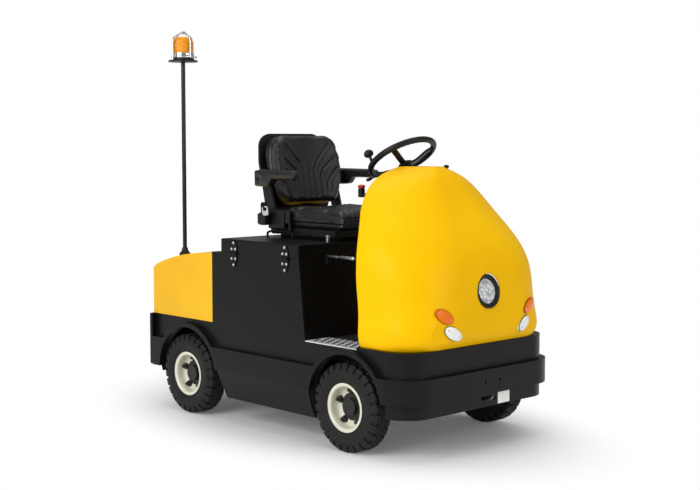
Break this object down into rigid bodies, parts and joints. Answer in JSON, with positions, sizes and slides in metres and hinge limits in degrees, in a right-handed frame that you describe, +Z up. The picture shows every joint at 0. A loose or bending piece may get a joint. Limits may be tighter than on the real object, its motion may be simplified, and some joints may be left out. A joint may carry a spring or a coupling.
{
  "type": "electric tow tractor",
  "caption": "Seated electric towing vehicle with a moulded front cowl, a sideways-hinged battery lid that carries the seat, a beacon on a pole and a pin coupling at the rear.",
  "frame": {"origin": "on the ground, midway along the length and half way between the axles, on the centre line", "axes": "+X forwards, +Y to the driver's left, +Z up"},
  "size_m": [2.0736, 1.066, 2.0099],
  "materials": {
    "cowl_yellow": "moulded in colour, glossy",
    "paint_yellow": "enamel on sheet steel",
    "paint_black": "satin powder coat",
    "chassis_black": "dull chassis paint",
    "step_aluminium": "raised bar tread plate",
    "mat_rubber": "ribbed mat",
    "tyre_rubber": "moulded tyre",
    "wheel_cream": "enamel on pressed steel",
    "hub_iron": "painted casting",
    "black_plastic": "grained moulding",
    "seat_vinyl": "sewn seat vinyl",
    "headlight_glass": "moulded lens",
    "lens_white": "clear ribbed lens",
    "lens_amber": "amber lens",
    "lens_red": "red lens",
    "plated_steel": "zinc plate",
    "battery_grey": "cell case"
  },
  "bodies": {
    "chassis": {"battery": "battery_grey", "battery_box": "paint_black", "beacon_base": "plated_steel", "beacon_lens": "lens_amber", "beacon_pole": "paint_black", "brake_lever": "plated_steel", "cowl": "cowl_yellow", "dash": "black_plastic", "drive_axle": "chassis_black", "floor_mat": "mat_rubber", "floor_plate": "paint_black", "front_axle": "chassis_black", "front_bumper": "paint_black", "headlight_lens": "headlight_glass", "headlight_ring": "black_plastic", "hinges_lower": "paint_black", "main_frame": "chassis_black", "marker_lamps": "lens_white", "pedals": "mat_rubber", "rear_bumper": "paint_black", "rear_cover": "paint_yellow", "side_panel_left": "paint_black", "side_panel_right": "paint_black", "steering_column": "black_plastic", "step_treads": "step_aluminium", "tail_lamps": "lens_red", "tow_coupling": "paint_black", "turn_lamps": "lens_amber"},
    "lid": {"battery_lid": "paint_black", "hinges_upper": "paint_black", "seat_rails": "paint_black"},
    "seat": {"seat_base": "black_plastic", "seat_cushion": "seat_vinyl", "belt_buckle": "black_plastic"},
    "seat_back": {"seat_back_frame": "black_plastic", "seat_back_pad": "seat_vinyl"},
    "armrest_right": {"armrest_right": "black_plastic"},
    "armrest_left": {"armrest_left": "black_plastic"},
    "steering_wheel": {"steering_wheel": "black_plastic"},
    "knuckle_right": {"knuckle_right": "chassis_black"},
    "knuckle_left": {"knuckle_left": "chassis_black"},
    "tie_rod": {"tie_rod": "chassis_black"},
    "wheel_front_right": {"tyre_front_right": "tyre_rubber", "wheel_front_right": "wheel_cream", "hub_front_right": "hub_iron"},
    "wheel_front_left": {"tyre_front_left": "tyre_rubber", "wheel_front_left": "wheel_cream", "hub_front_left": "hub_iron"},
    "wheel_rear_right": {"tyre_rear_right": "tyre_rubber", "wheel_rear_right": "wheel_cream", "hub_rear_right": "hub_iron"},
    "wheel_rear_left": {"tyre_rear_left": "tyre_rubber", "wheel_rear_left": "wheel_cream", "hub_rear_left": "hub_iron"}
  },
  "joints": [
    {"name": "steer_right", "type": "hinge", "parent": "chassis", "child": "knuckle_right", "pos_m": [0.606, -0.395, 0.21], "axis": [0, 0, 1], "range_deg": [-33, 33]},
    {"name": "steer_left", "type": "hinge", "parent": "chassis", "child": "knuckle_left", "pos_m": [0.606, 0.395, 0.21], "axis": [0, 0, 1], "range_deg": [-33.5, 33.5]},
    {"name": "tie_rod", "type": "hinge", "parent": "knuckle_right", "child": "tie_rod", "pos_m": [0.476, -0.395, 0.1537], "axis": [0, 0, 1], "range_deg": [-33.5, 33.5]},
    {"name": "steering_wheel", "type": "hinge", "parent": "chassis", "child": "steering_wheel", "pos_m": [0.46, 0, 1.355], "axis": [-0.5299, 0, 0.848], "range_deg": [-400, 400]},
    {"name": "spin_front_right", "type": "hinge", "parent": "knuckle_right", "child": "wheel_front_right", "pos_m": [0.606, -0.475, 0.21], "axis": [0, 1, 0], "continuous": true},
    {"name": "spin_front_left", "type": "hinge", "parent": "knuckle_left", "child": "wheel_front_left", "pos_m": [0.606, 0.475, 0.21], "axis": [0, 1, 0], "continuous": true},
    {"name": "spin_rear_right", "type": "hinge", "parent": "chassis", "child": "wheel_rear_right", "pos_m": [-0.606, -0.475, 0.21], "axis": [0, 1, 0], "continuous": true},
    {"name": "spin_rear_left", "type": "hinge", "parent": "chassis", "child": "wheel_rear_left", "pos_m": [-0.606, 0.475, 0.21], "axis": [0, 1, 0], "continuous": true},
    {"name": "lid", "type": "hinge", "parent": "chassis", "child": "lid", "pos_m": [0, -0.5115, 0.86815], "axis": [1, 0, 0], "range_deg": [0, 80]},
    {"name": "seat_slide", "type": "slide", "parent": "lid", "child": "seat", "axis": [1, 0, 0], "range_m": [-0.1, 0]},
    {"name": "seat_recline", "type": "hinge", "parent": "seat", "child": "seat_back", "pos_m": [-0.228, 0, 0.9736], "axis": [0, -1, 0], "range_deg": [-5, 15]},
    {"name": "armrest_right", "type": "hinge", "parent": "seat_back", "child": "armrest_right", "pos_m": [-0.292, -0.278, 1.2426], "axis": [0, -1, 0], "range_deg": [0, 90]},
    {"name": "armrest_left", "type": "hinge", "parent": "seat_back", "child": "armrest_left", "pos_m": [-0.292, 0.278, 1.2426], "axis": [0, -1, 0], "range_deg": [0, 90]}
  ],
  "couplings": [
    {"joint": "steer_left", "follows": "steer_right", "ratio": 1},
    {"joint": "tie_rod", "follows": "steer_right", "ratio": -1},
    {"joint": "steering_wheel", "follows": "steer_right", "ratio": 12}
  ]
}
